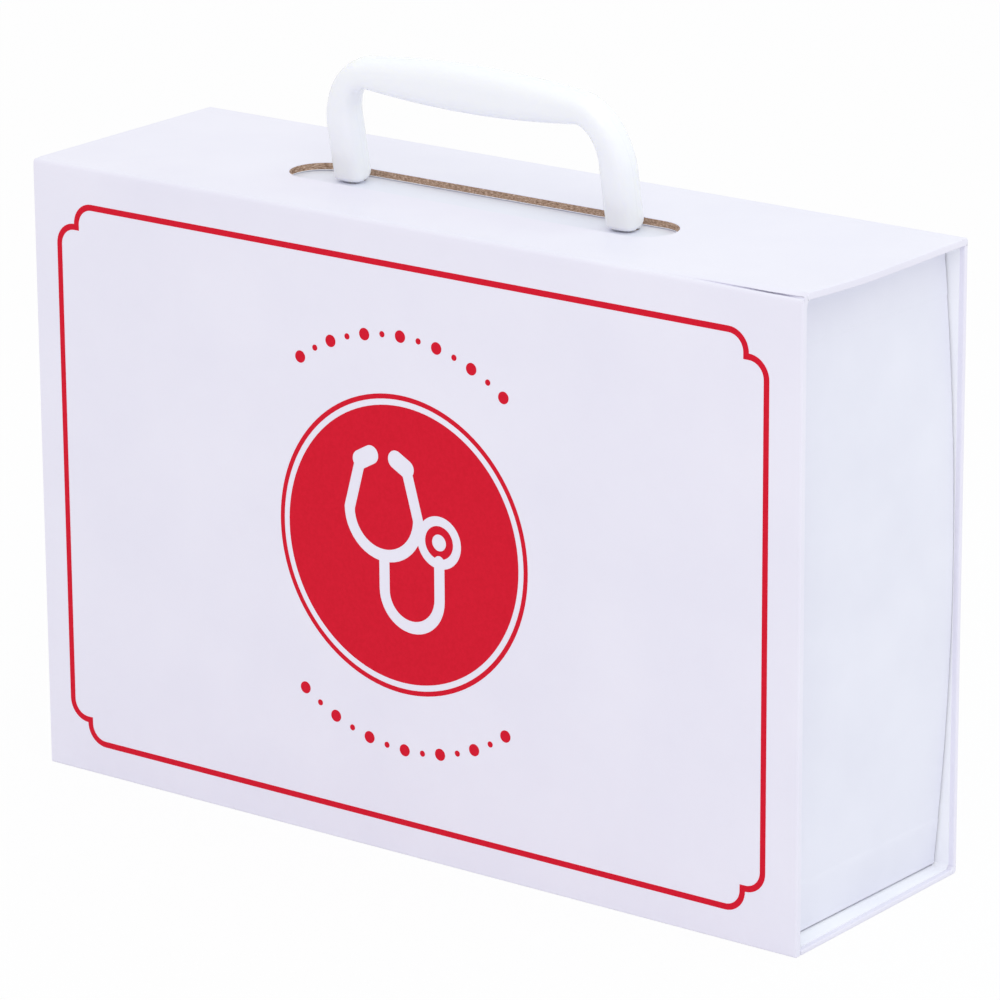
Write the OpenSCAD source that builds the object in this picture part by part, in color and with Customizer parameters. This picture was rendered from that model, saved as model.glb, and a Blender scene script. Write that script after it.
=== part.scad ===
// Toy doctor case: a book-style carton of paper-covered greyboard.
// A shallow tray is glued inside the front and top panels of the cover, with its mouth to the back.
// The back panel is the lid, hinged along the case's top back edge. A flap, hinged along the lid's
// lower edge, closes under the tray and stops behind the front panel. A moulded handle stands in the
// tray's top wall and comes out through a long hole in the top panel.
// Origin: middle of the case's base. X runs along the width, Y from the front to the back, Z up.

/* [Case] */
// Width of the closed case
case_w = 300; // [260:1:360]
// Depth of the closed case, front to back
case_d = 90; // [80:1:120]
// Height of the closed case, without its handle
case_h = 207; // [180:1:260]

/* [Card and paper] */
// Thickness of the greyboard in the front and top panels
cover_board = 2.1; // [1.6:0.1:2.5]
// Thickness of the greyboard in the lid and the flap
lid_board_t = 1.2; // [1.2:0.1:2.5]
// Thickness of the printed covering paper
cover_paper = 0.2; // [0.1:0.05:0.3]
// Thickness of the sheet that lines the cover
liner_paper = 0.15; // [0.1:0.05:0.3]
// Width of the covering paper turned in round each panel's edge
turn_in = 15; // [8:1:18]
// Outer radius of the paper where the cover folds
fold_r = 1.1; // [0.6:0.1:3]
// Distance from a panel's edge to its lining sheet
liner_inset = 2; // [2:0.5:7]

/* [Handle hole] */
// Length of the hole in the top panel
hole_l = 148; // [136:1:170]
// Width of the hole in the top panel
hole_w = 22; // [22:0.5:25]
// Distance from the front of the case to the middle of the hole
hole_from_front = 41.8; // [40:0.2:44]

/* [Tray] */
// Thickness of the tray's greyboard
tray_board = 2; // [1.4:0.1:2.6]
// Thickness of the paper on the tray
tray_paper = 0.2; // [0.1:0.05:0.3]
// Thickness of the tape on the tray's corners
tape_t = 0.1; // [0.05:0.05:0.15]
// Length of each leg of the corner tape
tape_leg = 12; // [6:1:20]
// Overhang of the cover past each end of the tray
end_margin = 8.5; // [7:0.5:14]
// Outward slant of each tray end, from the tray's floor to its rim
end_flare = 1.4; // [0:0.1:3]
// Outward bow of each tray end at the middle of its rim
end_bow = 5.2; // [0:0.2:5.4]
// Paper tab folded from the tray's long walls on to its ends
tab_w = 16; // [8:1:24]
// Width of the tray's paper turned over its rim
rim_turn = 14; // [6:1:18]
// Gap between the tray's rim and the closed lid
rim_gap = 0.5; // [0.4:0.1:2]
// Gap between the tray and the closed flap, and in front of the flap
flap_gap = 0.3; // [0.3:0.1:1]

/* [Handle] */
// Outer width of the handle across its legs
handle_w = 118; // [112:0.5:124]
// Height of the grip's middle line above the pins
grip_z = 43.9; // [38:0.1:60]
// Thickness of the grip at its middle
grip_mid = 15.2; // [12:0.2:18]
// Thickness of the grip at its ends
grip_end = 9.9; // [8:0.1:12]
// Width of each leg
leg_w = 10.9; // [8:0.1:12]
// Thickness of the handle, front to back
handle_t = 10.5; // [8:0.5:11]
// Height of the bend between a leg and the grip
bend_h = 18.4; // [12:0.2:20]
// Width of that bend, between the leg's middle line and the grip's
bend_w = 12.9; // [9:0.1:18]
// Lean of the handle against its forward stop
lean = 10.7; // [4:0.1:12]
// Lean of the handle against its backward stop
lean_back = 7; // [2:0.5:7]
// Height of the rounding under each foot
foot_h = 2.6; // [2.2:0.1:5]
// Gap under the handle's feet when the handle is upright
foot_gap = 0.6; // [0.5:0.05:1]
// Distance of the pins behind the middle of the hole
pin_back = 4.4; // [3.6:0.1:4.6]
// Width of the neck under each foot
neck_w = 5; // [4:0.2:6]
// Thickness of the neck under each foot
neck_t = 4; // [3.6:0.2:4.4]
// Diameter of the steel pin through each neck
pin_d = 2.4; // [1.6:0.1:2.4]
// Length of each pin
pin_l = 16; // [12:1:22]
// Clearance of the neck round its pin, on the radius
pin_fit = 0.06; // [0.03:0.01:0.1]
// Clearance of the neck in its hole
neck_fit = 0.3; // [0.2:0.1:0.5]
// Thickness of the two-ply strip behind the pins
backing_t = 5; // [5:0.1:6]
// Width of that strip
backing_w = 24; // [18:1:30]
// Length of that strip past each pin
backing_end = 8; // [4:1:14]

/* [Magnets] */
// Diameter of each magnet
magnet_d = 10; // [6:0.5:12]
// Thickness of each magnet
magnet_t = 1; // [0.8:0.1:1]
// Distance between the two magnets of a row
magnet_gap = 150; // [80:5:200]
// Distance from the flap's free edge to the magnets
magnet_edge = 14; // [8:1:25]

/* [Print] */
// Thickness of the ink
ink = 0.05; // [0.03:0.01:0.08]
// Width of the border line
line_w = 2; // [1:0.1:3]
// Radius of the border's corner curves
border_r = 7.4; // [5:0.2:12]
// Distance from the left edge of the front to the border
border_left = 9.6; // [6:0.2:20]
// Distance from the right edge of the front to the border
border_right = 11.6; // [6:0.2:20]
// Distance from the top of the front to the border
border_top = 12; // [6:0.2:20]
// Distance from the bottom of the front to the border
border_bottom = 10; // [6:0.2:20]
// Outer radius of the emblem's ring
emblem_r = 49; // [36:0.5:56]
// Width of the emblem's ring
ring_w = 1.6; // [0.8:0.1:3]
// Gap between the ring and the emblem's disc
ring_gap = 2; // [1:0.1:4]
// Distance of the rows of dots from the emblem's middle
dots_r = 68; // [62:0.5:76]
// Radius of the larger dots
dot_r = 2; // [1:0.1:3]

/* [Hidden] */
$fn = 64;

white_paper = "#f4f4f8";
greyboard = "#a08468";
red_ink = "#d91f32";
white_plastic = "#fafaff";
steel = "#a9adb2";

// A hair past a face, where a cut has to break through it
cut = 0.5;

front = -case_d / 2;
back = case_d / 2;
half_w = case_w / 2;
board_half_w = half_w - cover_paper;
panel = cover_board + 2 * cover_paper;
lined = panel + liner_paper;
lid_panel = lid_board_t + 2 * cover_paper;
lid_lined = lid_panel + liner_paper;
hole_y = front + hole_from_front;

// The tray's greyboard, inside its tape and paper
tray_skin = tape_t + tray_paper;
tray_y0 = front + panel;
tray_rim = back - lid_lined - rim_gap - tray_paper;
tray_top = case_h - lined - tray_skin;
tray_low = lid_lined + flap_gap + tray_skin;
tray_half_w = half_w - end_margin - tray_skin;
wall_top_in = tray_top - tray_board;
wall_low_in = tray_low + tray_board;
tray_z0 = tray_low - tray_skin;
tray_z1 = tray_top + tray_skin;
rim_out = tray_rim + tray_paper;

// Sheets of the tray's paper run this far into each other where they meet
bond = tray_paper / 2;

// The pins lie half way down the backing strip
pin_drop = backing_t / 2;
pin_z = wall_top_in - pin_drop;
pin_y = hole_y + pin_back;
leg_x = (handle_w - leg_w) / 2;
neck_r = backing_t / 2 - 0.1;
wall_over_pin = tray_z1 - pin_z;
neck_hole_w = neck_w + 2 * neck_fit;
foot_r = handle_t / 2;
foot_z = wall_over_pin + foot_gap + foot_h;

flap_front = front + panel + flap_gap;

magnet_y = flap_front + magnet_edge;
magnet_fit = 0.1;

// A box from its lowest to its highest corner
module box(low, high) {
    translate(low) cube(high - low);
}

// A stadium of the given length and width, lying along X
module stadium(length, width) {
    reach = (length - width) / 2;
    union() {
        square([2 * reach, width], center = true);
        for (side = [-1, 1]) translate([side * reach, 0]) circle(d = width);
    }
}

// The hole for the handle, cut down through the top panel
module handle_hole(grow = 0) {
    translate([0, hole_y, case_h - lined - cut])
        linear_extrude(lined + 2 * cut) stadium(hole_l + 2 * grow, hole_w + 2 * grow);
}

// The covering paper's bend over an outer corner along X, drawn for the front top corner at the origin
module fold_paper() {
    rotate([90, 0, 90]) translate([0, 0, -half_w]) linear_extrude(case_w) intersection() {
        translate([fold_r, -fold_r]) difference() {
            circle(r = fold_r);
            circle(r = fold_r - cover_paper);
        }
        translate([0, -fold_r]) square(fold_r);
    }
}

// What that corner takes off the upper end of the upright panel: square through its outer paper,
// mitred behind it
module upright_end() {
    deep = 2 * lined;
    rotate([90, 0, 90]) translate([0, 0, -half_w - cut]) linear_extrude(case_w + 2 * cut)
        polygon([
            [-cut, -fold_r],
            [cover_paper, -fold_r],
            [deep, -fold_r - deep + cover_paper],
            [deep, cut],
            [-cut, cut]
        ]);
}

// The same for the end of the level panel
module level_end() {
    mirror([0, 1, 1]) upright_end();
}

module at_front_top() {
    translate([0, front, case_h]) children();
}

module at_back_top() {
    translate([0, back, case_h]) mirror([0, 1, 0]) children();
}

module at_back_low() {
    translate([0, back, 0]) mirror([0, 1, 0]) mirror([0, 0, 1]) children();
}

// Discs for magnets in a row along X, with their lower face at z
module magnet_row(z, thickness, grow = 0) {
    for (side = [-1, 1]) translate([side * magnet_gap / 2, magnet_y, z])
        cylinder(d = magnet_d + 2 * grow, h = thickness);
}

// Front panel

module front_board() {
    color(greyboard) difference() {
        box([-board_half_w, front + cover_paper, cover_paper],
            [board_half_w, front + panel - cover_paper, case_h]);
        at_front_top() upright_end();
    }
}

module front_wrap() {
    color(white_paper) difference() {
        box([-half_w, front, 0], [half_w, front + panel, case_h]);
        box([-board_half_w, front + cover_paper, cover_paper],
            [board_half_w, front + panel - cover_paper, case_h + cut]);
        box([-half_w + turn_in, front + cover_paper, turn_in],
            [half_w - turn_in, front + panel + cut, case_h + cut]);
        at_front_top() upright_end();
    }
}

// Anything printed on the front, drawn as seen, with its origin at the base's middle
module printed() {
    color(red_ink) translate([0, front, 0]) rotate([90, 0, 0]) linear_extrude(ink) children();
}

// A frame's outline whose corners are two round lobes that meet in a notch
module lobed_frame(inset) {
    low_x = -half_w + border_left;
    high_x = half_w - border_right;
    low_z = border_bottom;
    high_z = case_h - border_top;
    r = border_r;
    union() {
        translate([low_x + 2 * r, low_z + inset])
            square([high_x - low_x - 4 * r, high_z - low_z - 2 * inset]);
        translate([low_x + inset, low_z + 2 * r])
            square([high_x - low_x - 2 * inset, high_z - low_z - 4 * r]);
        translate([low_x + r, low_z + r + inset])
            square([high_x - low_x - 2 * r, high_z - low_z - 2 * r - 2 * inset]);
        translate([low_x + r + inset, low_z + r])
            square([high_x - low_x - 2 * r - 2 * inset, high_z - low_z - 2 * r]);
        for (x = [low_x + r, high_x - r], z = [low_z + 2 * r, high_z - 2 * r])
            translate([x, z]) circle(r = r - inset);
        for (x = [low_x + 2 * r, high_x - 2 * r], z = [low_z + r, high_z - r])
            translate([x, z]) circle(r = r - inset);
    }
}

module border_print() {
    printed() difference() {
        lobed_frame(0);
        lobed_frame(line_w);
    }
}

// A band along an arc about the origin, from angle a to angle b, with round ends
module arc_band(radius, width, a, b) {
    steps = 24;
    rim = [for (i = [0:steps]) let (t = a + (b - a) * i / steps) [cos(t), sin(t)]];
    union() {
        polygon(concat(
            [for (p = rim) p * (radius + width / 2)],
            [for (i = [steps:-1:0]) rim[i] * (radius - width / 2)]
        ));
        for (t = [a, b]) rotate(t) translate([radius, 0]) circle(d = width);
    }
}

// A straight band with round ends
module bar(a, b, width) {
    along = b - a;
    turn = atan2(along[1], along[0]);
    union() {
        translate(a) rotate(turn) translate([0, -width / 2]) square([norm(along), width]);
        for (p = [a, b]) translate(p) circle(d = width);
    }
}

// A stethoscope as a plain silhouette, in units of the disc's radius
module stethoscope() {
    tube = 0.09;
    yoke = 0.3;
    yoke_z = 0.2;
    ear_z = 0.56;
    ear_x = 0.2;
    loop = 0.24;
    chest = 0.19;
    union() {
        translate([-0.16, yoke_z]) arc_band(yoke, tube, 180, 360);
        for (side = [-1, 1]) {
            bar([-0.16 + side * yoke, yoke_z], [-0.16 + side * ear_x, ear_z], tube);
            bar([-0.16 + side * ear_x, ear_z], [-0.16 + side * (ear_x - 0.09), ear_z + 0.05], tube * 1.5);
        }
        bar([-0.16, yoke_z - yoke], [-0.16, -0.34], tube);
        translate([-0.16 + loop, -0.34]) arc_band(loop, tube, 180, 360);
        bar([-0.16 + 2 * loop, -0.34], [-0.16 + 2 * loop, -0.06], tube);
        translate([-0.16 + 2 * loop, 0.08]) difference() {
            circle(r = chest);
            circle(r = chest - 0.07);
        }
        translate([-0.16 + 2 * loop, 0.08]) circle(r = 0.06);
    }
}

module emblem_print() {
    disc_r = emblem_r - ring_w - ring_gap;
    middle_z = case_h / 2;
    printed() translate([0, middle_z]) {
        difference() {
            circle(r = emblem_r, $fn = 128);
            circle(r = emblem_r - ring_w, $fn = 128);
        }
        difference() {
            circle(r = disc_r, $fn = 128);
            scale(disc_r) stethoscope();
        }
        for (side = [90, 270], step = [-6:6])
            rotate(side + step * 6) translate([dots_r, 0])
                circle(r = step % 2 == 0 ? dot_r : dot_r / 2, $fn = 24);
    }
}

// Top panel, the spine of the cover

module spine_board() {
    color(greyboard) difference() {
        box([-board_half_w, front, case_h - cover_paper - cover_board],
            [board_half_w, back, case_h - cover_paper]);
        at_front_top() level_end();
        at_back_top() level_end();
        handle_hole();
    }
}

module spine_wrap() {
    color(white_paper) {
        difference() {
            box([-half_w, front, case_h - panel], [half_w, back, case_h]);
            box([-board_half_w, front - cut, case_h - panel + cover_paper],
                [board_half_w, back + cut, case_h - cover_paper]);
            box([-half_w + turn_in, front - cut, case_h - panel - cut],
                [half_w - turn_in, back + cut, case_h - cover_paper]);
            at_front_top() level_end();
            at_back_top() level_end();
            handle_hole();
        }
        at_front_top() fold_paper();
    }
}

module spine_liner() {
    color(white_paper) difference() {
        box([-half_w + liner_inset, front, case_h - lined], [half_w - liner_inset, back, case_h - panel]);
        at_front_top() level_end();
        at_back_top() level_end();
        handle_hole();
    }
}

// Tray

// How far along the tray's depth y lies, from 0 at the floor to 1 at the rim
function along_depth(y) = max(0, (y - tray_y0) / (tray_rim - tray_y0));

// Outward bow of a tray end as a share of its most, over its height
function over_height(z) =
    max(0, 1 - pow((2 * z - wall_low_in - wall_top_in) / (wall_top_in - wall_low_in), 2));

// The tray end's outer face, as a distance from the middle of the case
function end_x(y, z) = tray_half_w + end_flare * along_depth(y)
    + end_bow * pow(along_depth(y), 1.5) * over_height(z);

// A sheet over the whole right tray end, between two offsets from the board's outer face
module full_end_sheet(off0, off1) {
    ys = concat(tray_y0 - cut, [for (i = [0:8]) tray_y0 + (tray_rim - tray_y0) * i / 8], rim_out + cut);
    zs = concat(
        tray_z0 - cut,
        [for (j = [0:16]) wall_low_in + (wall_top_in - wall_low_in) * j / 16],
        tray_z1 + cut
    );
    cols = len(ys) - 1;
    rows = len(zs) - 1;
    points = [for (off = [off0, off1], y = ys, z = zs) [end_x(y, z) + off, y, z]];
    side = (cols + 1) * (rows + 1);
    function at(k, i, j) = k * side + i * (rows + 1) + j;
    faces = concat(
        [for (i = [0:cols - 1], j = [0:rows - 1]) each [
            [at(1, i, j), at(1, i + 1, j + 1), at(1, i + 1, j)],
            [at(1, i, j), at(1, i, j + 1), at(1, i + 1, j + 1)],
            [at(0, i, j), at(0, i + 1, j), at(0, i + 1, j + 1)],
            [at(0, i, j), at(0, i + 1, j + 1), at(0, i, j + 1)]
        ]],
        [for (i = [0:cols - 1]) each [
            [at(0, i, 0), at(1, i, 0), at(1, i + 1, 0)],
            [at(0, i, 0), at(1, i + 1, 0), at(0, i + 1, 0)],
            [at(0, i, rows), at(1, i + 1, rows), at(1, i, rows)],
            [at(0, i, rows), at(0, i + 1, rows), at(1, i + 1, rows)]
        ]],
        [for (j = [0:rows - 1]) each [
            [at(0, 0, j), at(0, 0, j + 1), at(1, 0, j + 1)],
            [at(0, 0, j), at(1, 0, j + 1), at(1, 0, j)],
            [at(0, cols, j), at(1, cols, j + 1), at(0, cols, j + 1)],
            [at(0, cols, j), at(1, cols, j), at(1, cols, j + 1)]
        ]]
    );
    polyhedron(points = points, faces = faces, convexity = 4);
}

// The part of such a sheet between two depths and two heights, so that sheets on each other touch all over
module end_sheet(y0, y1, z0, z1, off0, off1) {
    intersection() {
        full_end_sheet(off0, off1);
        box([0, y0, z0], [case_w, y1, z1]);
    }
}

// A flat sheet as wide as the tray, less or more the given offset, between two depths and two heights
module wide_sheet(y0, y1, z0, z1, off) {
    x0 = end_x(y0, tray_z0) + off;
    x1 = end_x(y1, tray_z0) + off;
    translate([0, 0, z0]) linear_extrude(z1 - z0) polygon([[-x0, y0], [x0, y0], [x1, y1], [-x1, y1]]);
}

module both_ends() {
    children();
    mirror([1, 0, 0]) children();
}

// How far a neck's leading face gets from the pin's middle at the tray's top face, when the
// handle leans by an angle
function neck_reach(angle) = wall_over_pin * tan(angle) + neck_t / 2 / cos(angle) + neck_fit / 2;

// The holes for the handle's necks, down through the tray's top wall
module neck_holes(low, high) {
    for (side = [-1, 1]) translate([side * leg_x, pin_y, 0])
        box([-neck_hole_w / 2, -neck_reach(lean), low], [neck_hole_w / 2, neck_reach(lean_back), high]);
}

module tray_floor() {
    x = tray_half_w - tray_board;
    color(greyboard) box([-x, tray_y0, wall_low_in], [x, tray_y0 + tray_board, wall_top_in]);
}

module tray_top_wall() {
    color(greyboard) difference() {
        wide_sheet(tray_y0, tray_rim, wall_top_in, tray_top, 0);
        neck_holes(wall_top_in - cut, tray_top + cut);
    }
}

module tray_bottom_wall() {
    color(greyboard) difference() {
        wide_sheet(tray_y0, tray_rim, tray_low, wall_low_in, 0);
        magnet_row(tray_low - cut, magnet_t + magnet_fit + cut, magnet_fit);
    }
}

module tray_right_end() {
    color(greyboard) end_sheet(tray_y0, tray_rim, wall_low_in, wall_top_in, -tray_board, 0);
}

module tray_left_end() {
    mirror([1, 0, 0]) tray_right_end();
}

// Tape round each long corner of the tray
module tray_corner_tapes() {
    color(greyboard) both_ends() {
        end_sheet(tray_y0, tray_rim, tray_top - tape_leg, tray_top, 0, tape_t);
        end_sheet(tray_y0, tray_rim, tray_low, tray_low + tape_leg, 0, tape_t);
        for (z = [tray_top, tray_low - tape_t]) intersection() {
            wide_sheet(tray_y0, tray_rim, z, z + tape_t, tape_t);
            box([tray_half_w - tape_leg, tray_y0, z], [half_w, tray_rim, z + tape_t]);
        }
    }
}

module tray_wrap() {
    face = tape_t + tray_paper;
    turned = -tray_board - tray_paper;
    color(white_paper) {
        difference() {
            wide_sheet(tray_y0, rim_out, tray_top + tape_t, tray_z1, tape_t + bond);
            neck_holes(tray_top - cut, tray_z1 + cut);
        }
        wide_sheet(tray_y0, rim_out, tray_z0, tray_low - tape_t, tape_t + bond);
        both_ends() {
            end_sheet(tray_y0, rim_out, tray_z0, tray_z1, tape_t, face);
            end_sheet(tray_y0, rim_out, tray_z1 - tab_w, tray_z1, face - bond, face + tray_paper);
            end_sheet(tray_y0, rim_out, tray_z0, tray_z0 + tab_w, face - bond, face + tray_paper);
            end_sheet(tray_rim, rim_out, tray_z0, tray_z1, turned + bond, tape_t + bond / 2);
            end_sheet(tray_rim - rim_turn, rim_out, wall_low_in, wall_top_in, turned, turned + tray_paper);
        }
        wide_sheet(tray_rim, rim_out, wall_top_in - bond, tray_z1 - bond, tape_t + bond);
        wide_sheet(tray_rim, rim_out, tray_z0 + bond, wall_low_in + bond, tape_t + bond);
        wide_sheet(tray_rim - rim_turn, rim_out, wall_top_in - tray_paper, wall_top_in, turned + bond);
        wide_sheet(tray_rim - rim_turn, rim_out, wall_low_in, wall_low_in + tray_paper, turned + bond);
    }
}

module tray_lining() {
    floor_y = tray_y0 + tray_board;
    edge = tray_rim - rim_turn;
    window = [leg_x + pin_l / 2 + backing_end, backing_w / 2];
    turned = -tray_board - tray_paper;
    x = tray_half_w + turned + bond;
    color(white_paper) {
        box([-x, floor_y, wall_low_in], [x, floor_y + tray_paper, wall_top_in]);
        difference() {
            wide_sheet(floor_y, edge, wall_top_in - tray_paper, wall_top_in, turned + bond);
            box([-window[0], pin_y - window[1], wall_top_in - tray_paper - cut],
                [window[0], pin_y + window[1], wall_top_in + cut]);
        }
        wide_sheet(floor_y, edge, wall_low_in, wall_low_in + tray_paper, turned + bond);
        both_ends() end_sheet(floor_y, edge, wall_low_in, wall_top_in, turned, -tray_board);
    }
}

module tray_magnets() {
    color(steel) magnet_row(tray_low, magnet_t);
}

// Handle and what holds it

module handle_backing() {
    end = leg_x + pin_l / 2 + backing_end;
    groove = pin_d + 2 * pin_fit;
    color(greyboard) difference() {
        box([-end, pin_y - backing_w / 2, wall_top_in - backing_t],
            [end, pin_y + backing_w / 2, wall_top_in]);
        neck_holes(wall_top_in - backing_t - cut, wall_top_in + cut);
        for (side = [-1, 1]) translate([side * leg_x, pin_y, 0])
            box([-pin_l / 2 - pin_fit, -groove / 2, pin_z - groove / 2],
                [pin_l / 2 + pin_fit, groove / 2, wall_top_in + cut]);
    }
}

module handle_backing_cover() {
    end = leg_x + pin_l / 2 + backing_end;
    color(white_paper)
        box([-end, pin_y - backing_w / 2, wall_top_in - backing_t - tray_paper],
            [end, pin_y + backing_w / 2, wall_top_in - backing_t]);
}

module handle_pins() {
    color(steel) for (side = [-1, 1]) translate([side * leg_x - pin_l / 2, pin_y, pin_z])
        rotate([0, 90, 0]) cylinder(d = pin_d, h = pin_l);
}

// Middle line of the handle's right half from its foot to its middle: x, z, half width, half thickness
function foot_stations() = [for (t = [8, 20, 35, 50, 65, 80])
    [leg_x, foot_z - foot_h * cos(t), leg_w / 2 * pow(sin(t), 0.3), foot_r * pow(sin(t), 0.75)]];
function leg_stations() = [for (t = [0, 0.35, 0.7])
    [leg_x, foot_z + (grip_z - bend_h - foot_z) * t, leg_w / 2, foot_r]];
function bend_stations() = [for (t = [0:10:90]) let (
        thin = 1 - 0.12 * sin(2 * t),
        w = leg_w / 2 + (grip_end - leg_w) / 2 * sin(t))
    [leg_x - bend_w * (1 - cos(t)), grip_z - bend_h + bend_h * sin(t), w * thin, foot_r]];
function grip_stations() = let (reach = leg_x - bend_w) [for (s = [0.86, 0.7, 0.52, 0.34, 0.17, 0])
    [reach * s, grip_z, (grip_mid - (grip_mid - grip_end) * s * s) / 2, foot_r]];
function handle_stations() = let (
        half = concat(foot_stations(), leg_stations(), bend_stations(), grip_stations()),
        last = len(half) - 1)
    concat(half, [for (i = [last - 1:-1:0]) [-half[i][0], half[i][1], half[i][2], half[i][3]]]);

// One ring of the handle's surface: a rounded oblong across the middle line
function handle_ring(s, i, sides, squareness) = let (
        before = s[max(i - 1, 0)],
        after = s[min(i + 1, len(s) - 1)],
        step = [after[0] - before[0], after[1] - before[1]],
        dir = step / norm(step))
    [for (k = [0:sides - 1]) let (
            t = 360 * k / sides,
            across = sign(cos(t)) * pow(abs(cos(t)), squareness) * s[i][2],
            deep = sign(sin(t)) * pow(abs(sin(t)), squareness) * s[i][3])
        [s[i][0] + dir[1] * across, deep, s[i][1] - dir[0] * across]];

module handle_body() {
    sides = 28;
    s = handle_stations();
    rings = len(s);
    points = [for (i = [0:rings - 1]) each handle_ring(s, i, sides, 0.7)];
    faces = concat(
        [[for (k = [0:sides - 1]) k]],
        [for (i = [0:rings - 2], k = [0:sides - 1]) let (n = (k + 1) % sides) each [
            [i * sides + k, (i + 1) * sides + n, i * sides + n],
            [i * sides + k, (i + 1) * sides + k, (i + 1) * sides + n]
        ]],
        [[for (k = [sides - 1:-1:0]) (rings - 1) * sides + k]]
    );
    polyhedron(points = points, faces = faces, convexity = 6);
}

module handle() {
    color(white_plastic) translate([0, pin_y, pin_z]) rotate([lean, 0, 0]) {
        difference() {
            union() {
                handle_body();
                for (side = [-1, 1]) translate([side * leg_x, 0, 0]) {
                    box([-neck_w / 2, -neck_t / 2, 0], [neck_w / 2, neck_t / 2, foot_z]);
                    translate([-neck_w / 2, 0, 0]) rotate([0, 90, 0]) cylinder(r = neck_r, h = neck_w);
                }
            }
            for (side = [-1, 1]) translate([side * leg_x - neck_w, 0, 0])
                rotate([0, 90, 0]) cylinder(d = pin_d + 2 * pin_fit, h = 2 * neck_w);
        }
    }
}

// Back panel, the lid

module lid_board() {
    color(greyboard) difference() {
        box([-board_half_w, back - lid_panel + cover_paper, 0], [board_half_w, back - cover_paper, case_h]);
        at_back_top() upright_end();
        at_back_low() upright_end();
    }
}

module lid_wrap() {
    color(white_paper) {
        difference() {
            box([-half_w, back - lid_panel, 0], [half_w, back, case_h]);
            box([-board_half_w, back - lid_panel + cover_paper, -cut],
                [board_half_w, back - cover_paper, case_h + cut]);
            box([-half_w + turn_in, back - lid_panel - cut, -cut],
                [half_w - turn_in, back - cover_paper, case_h + cut]);
            at_back_top() upright_end();
            at_back_low() upright_end();
        }
        at_back_top() fold_paper();
    }
}

module lid_liner() {
    color(white_paper) difference() {
        box([-half_w + liner_inset, back - lid_lined, 0], [half_w - liner_inset, back - lid_panel, case_h]);
        at_back_top() upright_end();
        at_back_low() upright_end();
    }
}

// Bottom panel, the flap

module flap_board() {
    color(greyboard) difference() {
        box([-board_half_w, flap_front + cover_paper, cover_paper],
            [board_half_w, back, lid_panel - cover_paper]);
        at_back_low() level_end();
        magnet_row(lid_panel - cover_paper - magnet_t - magnet_fit, magnet_t + magnet_fit + cut, magnet_fit);
    }
}

module flap_wrap() {
    color(white_paper) {
        difference() {
            box([-half_w, flap_front, 0], [half_w, back, lid_panel]);
            box([-board_half_w, flap_front + cover_paper, cover_paper],
                [board_half_w, back + cut, lid_panel - cover_paper]);
            box([-half_w + turn_in, flap_front + turn_in, cover_paper],
                [half_w - turn_in, back + cut, lid_panel + cut]);
            at_back_low() level_end();
        }
        at_back_low() fold_paper();
    }
}

module flap_liner() {
    color(white_paper) difference() {
        box([-half_w + liner_inset, flap_front + liner_inset, lid_panel], [half_w - liner_inset, back, lid_lined]);
        at_back_low() level_end();
    }
}

module flap_magnets() {
    color(steel) magnet_row(lid_panel - cover_paper - magnet_t, magnet_t);
}

front_board();
front_wrap();
border_print();
emblem_print();
spine_board();
spine_wrap();
spine_liner();
tray_floor();
tray_top_wall();
tray_bottom_wall();
tray_left_end();
tray_right_end();
tray_corner_tapes();
tray_wrap();
tray_lining();
tray_magnets();
handle_backing();
handle_backing_cover();
handle_pins();
handle();
lid_board();
lid_wrap();
lid_liner();
flap_board();
flap_wrap();
flap_liner();
flap_magnets();
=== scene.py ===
"""The looks of a toy doctor case: paper-covered greyboard, a paper-covered tray and a moulded handle.

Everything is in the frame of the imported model: X along the width, Y from the printed front to the
lid at the back, Z up, with the case standing on Z = 0. Shapes are drawn in millimetres and made metres
when they are finished.
"""
import math
import random

import bmesh
import bpy
from mathutils import Matrix, Vector


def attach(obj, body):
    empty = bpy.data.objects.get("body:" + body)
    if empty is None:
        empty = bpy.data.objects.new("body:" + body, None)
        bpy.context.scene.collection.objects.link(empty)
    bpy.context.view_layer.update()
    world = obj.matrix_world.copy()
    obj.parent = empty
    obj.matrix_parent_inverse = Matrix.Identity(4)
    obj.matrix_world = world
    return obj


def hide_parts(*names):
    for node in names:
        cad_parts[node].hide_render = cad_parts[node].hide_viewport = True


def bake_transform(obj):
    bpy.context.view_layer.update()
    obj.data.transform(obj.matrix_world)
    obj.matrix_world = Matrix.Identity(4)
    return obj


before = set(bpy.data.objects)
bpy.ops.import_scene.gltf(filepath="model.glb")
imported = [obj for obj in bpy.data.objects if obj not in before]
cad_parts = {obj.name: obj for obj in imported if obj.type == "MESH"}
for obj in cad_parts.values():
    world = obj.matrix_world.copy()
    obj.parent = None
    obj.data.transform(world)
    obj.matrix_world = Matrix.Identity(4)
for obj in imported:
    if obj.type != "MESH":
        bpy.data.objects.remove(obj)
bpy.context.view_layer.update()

MM = 0.001

# Sizes of the case in millimetres, as they are in the part's source
HALF_W, FRONT, BACK, HEIGHT = 150.0, -45.0, 45.0, 207.0
PANEL, LINED, PAPER, FOLD_R, TURN_IN, LINER_IN = 2.5, 2.65, 0.2, 1.1, 15.0, 2.0
LID_PANEL, LID_LINED = 1.6, 1.75
HOLE_L, HOLE_W, HOLE_Y = 148.0, 22.0, -3.2
TRAY_Y0, TRAY_RIM, TRAY_TOP, TRAY_LOW, TRAY_HALF_W = -42.5, 42.55, 204.05, 2.35, 141.2
TRAY_BOARD, TRAY_SKIN, RIM_TURN, TAB_W = 2.0, 0.3, 14.0, 16.0
WALL_LOW, WALL_HIGH, END_FLARE, END_BOW = 4.35, 202.05, 1.4, 5.2
PIN_Y, PIN_Z, LEAN, LEG_X, LEG_W = 1.2, 199.55, 10.7, 53.55, 10.9
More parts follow.
